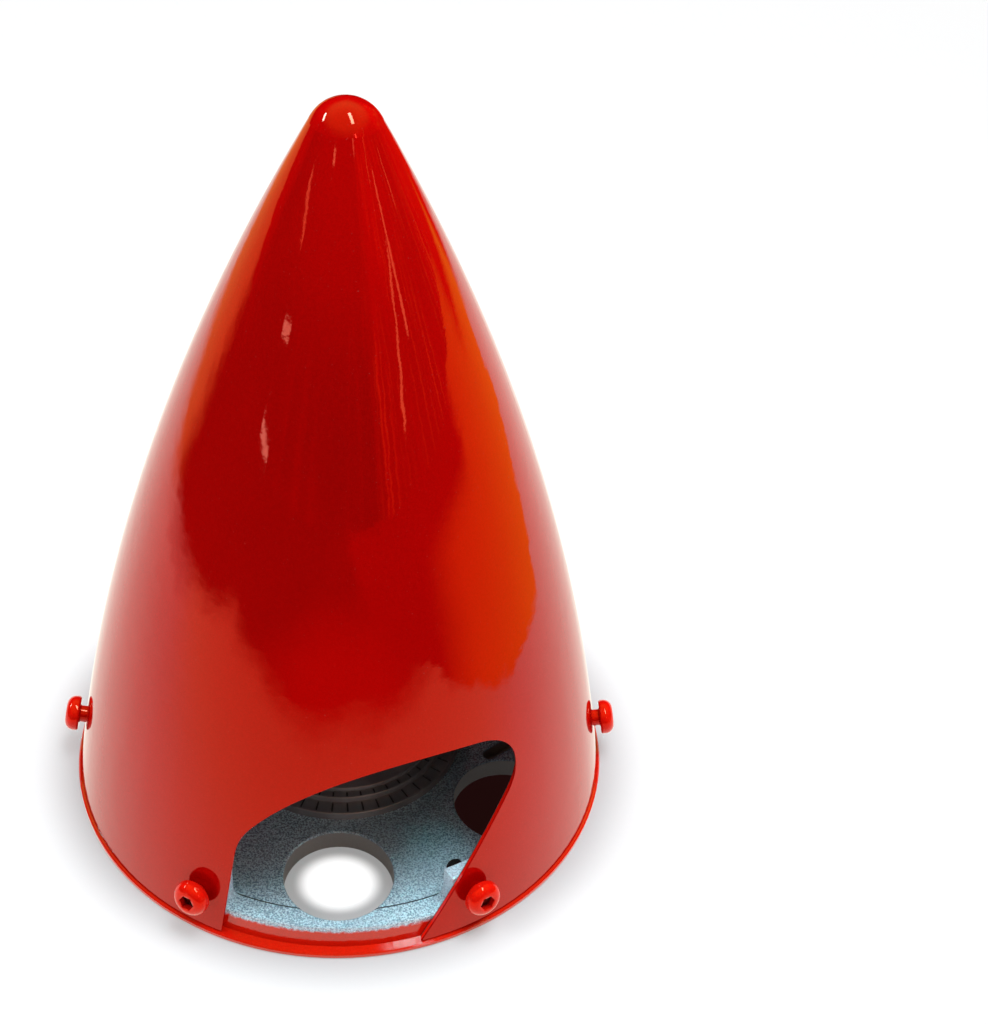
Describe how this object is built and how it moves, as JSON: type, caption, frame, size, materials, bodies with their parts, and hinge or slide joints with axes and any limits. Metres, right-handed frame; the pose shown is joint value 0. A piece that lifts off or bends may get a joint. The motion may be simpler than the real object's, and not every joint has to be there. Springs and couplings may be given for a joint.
{
  "type": "propeller spinner",
  "caption": "Pointed ogive propeller spinner with slanted blade openings, on a turned back plate with lugs, button-head screws, lightening holes and a stepped hub.",
  "frame": {"origin": "on the shaft axis in the rear face of the back plate", "axes": "+Z forward along the propeller shaft to the nose, -Y through the middle of the front blade opening"},
  "size_m": [0.1328, 0.127, 0.1763],
  "materials": {
    "shell_paint": "high gloss red",
    "blasted_aluminium": "coarse blasted, with red paint on the lip",
    "hub_metal": "smooth turned",
    "screw_paint": "gloss red over a black screw"
  },
  "bodies": {
    "root": {"spinner_shell": "shell_paint", "back_plate": "blasted_aluminium", "drive_hub": "hub_metal", "shell_screw_1": "screw_paint", "shell_screw_2": "screw_paint", "shell_screw_3": "screw_paint", "shell_screw_4": "screw_paint", "shell_screw_5": "screw_paint", "shell_screw_6": "screw_paint"}
  },
  "joints": []
}
